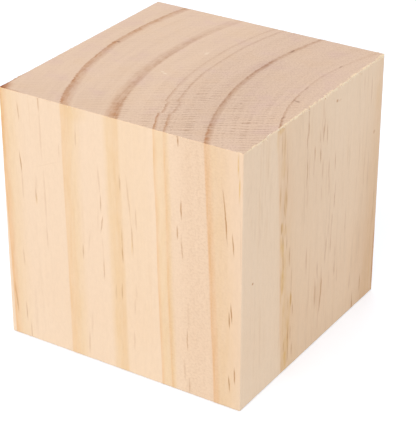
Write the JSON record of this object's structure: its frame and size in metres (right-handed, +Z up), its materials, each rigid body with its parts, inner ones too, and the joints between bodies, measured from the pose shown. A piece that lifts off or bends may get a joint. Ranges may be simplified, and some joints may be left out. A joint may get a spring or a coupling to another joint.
{
  "type": "wooden cube",
  "caption": "Plain solid softwood cube with lightly eased edges, upright grain and sawn end-grain top and base.",
  "frame": {"origin": "centre of the base, in the plane that the cube rests on", "axes": "+Z up along the grain, +X to the right along the front face, +Y from the front face to the back face"},
  "size_m": [0.03, 0.03, 0.03],
  "materials": {
    "wood": "bare planed softwood, unfinished, with finely sawn end grain"
  },
  "bodies": {
    "root": {"block": "wood"}
  },
  "joints": []
}
